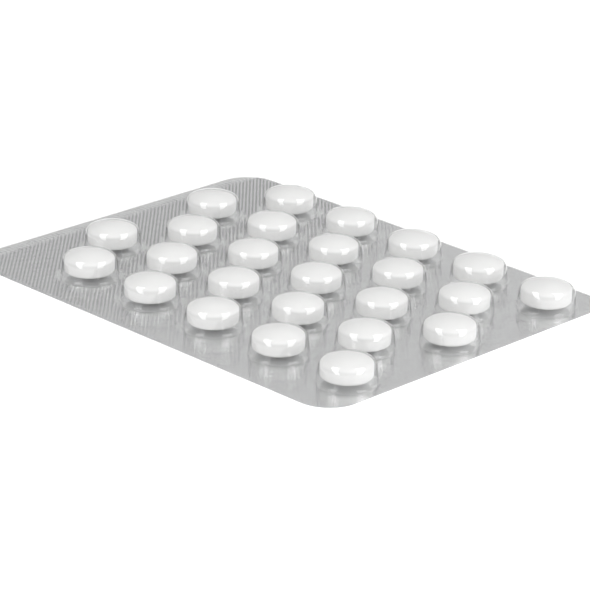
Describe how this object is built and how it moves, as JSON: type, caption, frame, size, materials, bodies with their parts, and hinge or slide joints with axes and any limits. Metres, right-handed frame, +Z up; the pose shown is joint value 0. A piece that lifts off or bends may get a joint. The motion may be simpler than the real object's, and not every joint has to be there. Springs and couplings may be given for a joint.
{
  "type": "tablet blister pack",
  "caption": "Flat pack of round white tablets in staggered domed pockets of a clear formed film, sealed to a thin knurled aluminium foil with rounded corners.",
  "frame": {"origin": "middle of the foil's underside, on the surface that the pack rests on", "axes": "+X across the rows of pockets, +Y along the rows towards the blank strip, +Z up through the pocket domes"},
  "size_m": [0.072, 0.0924, 0.005],
  "materials": {
    "clear_film": "clear thermoformed film, glossy, with a fine knurl on the sealed flats",
    "foil": "satin aluminium foil with a fine diagonal knurl from the sealing tool",
    "tablet": "white film-coated tablet, satin"
  },
  "bodies": {
    "root": {"lidding_foil": "foil", "blister_film": "clear_film", "tablet_1_1": "tablet", "tablet_1_2": "tablet", "tablet_1_3": "tablet", "tablet_1_4": "tablet", "tablet_1_5": "tablet", "tablet_2_1": "tablet", "tablet_2_2": "tablet", "tablet_2_3": "tablet", "tablet_2_4": "tablet", "tablet_2_5": "tablet", "tablet_3_1": "tablet", "tablet_3_2": "tablet", "tablet_3_3": "tablet", "tablet_3_4": "tablet", "tablet_3_5": "tablet", "tablet_4_1": "tablet", "tablet_4_2": "tablet", "tablet_4_3": "tablet", "tablet_4_4": "tablet", "tablet_4_5": "tablet", "tablet_5_1": "tablet", "tablet_5_2": "tablet", "tablet_5_3": "tablet", "tablet_5_4": "tablet", "tablet_5_5": "tablet"}
  },
  "joints": []
}
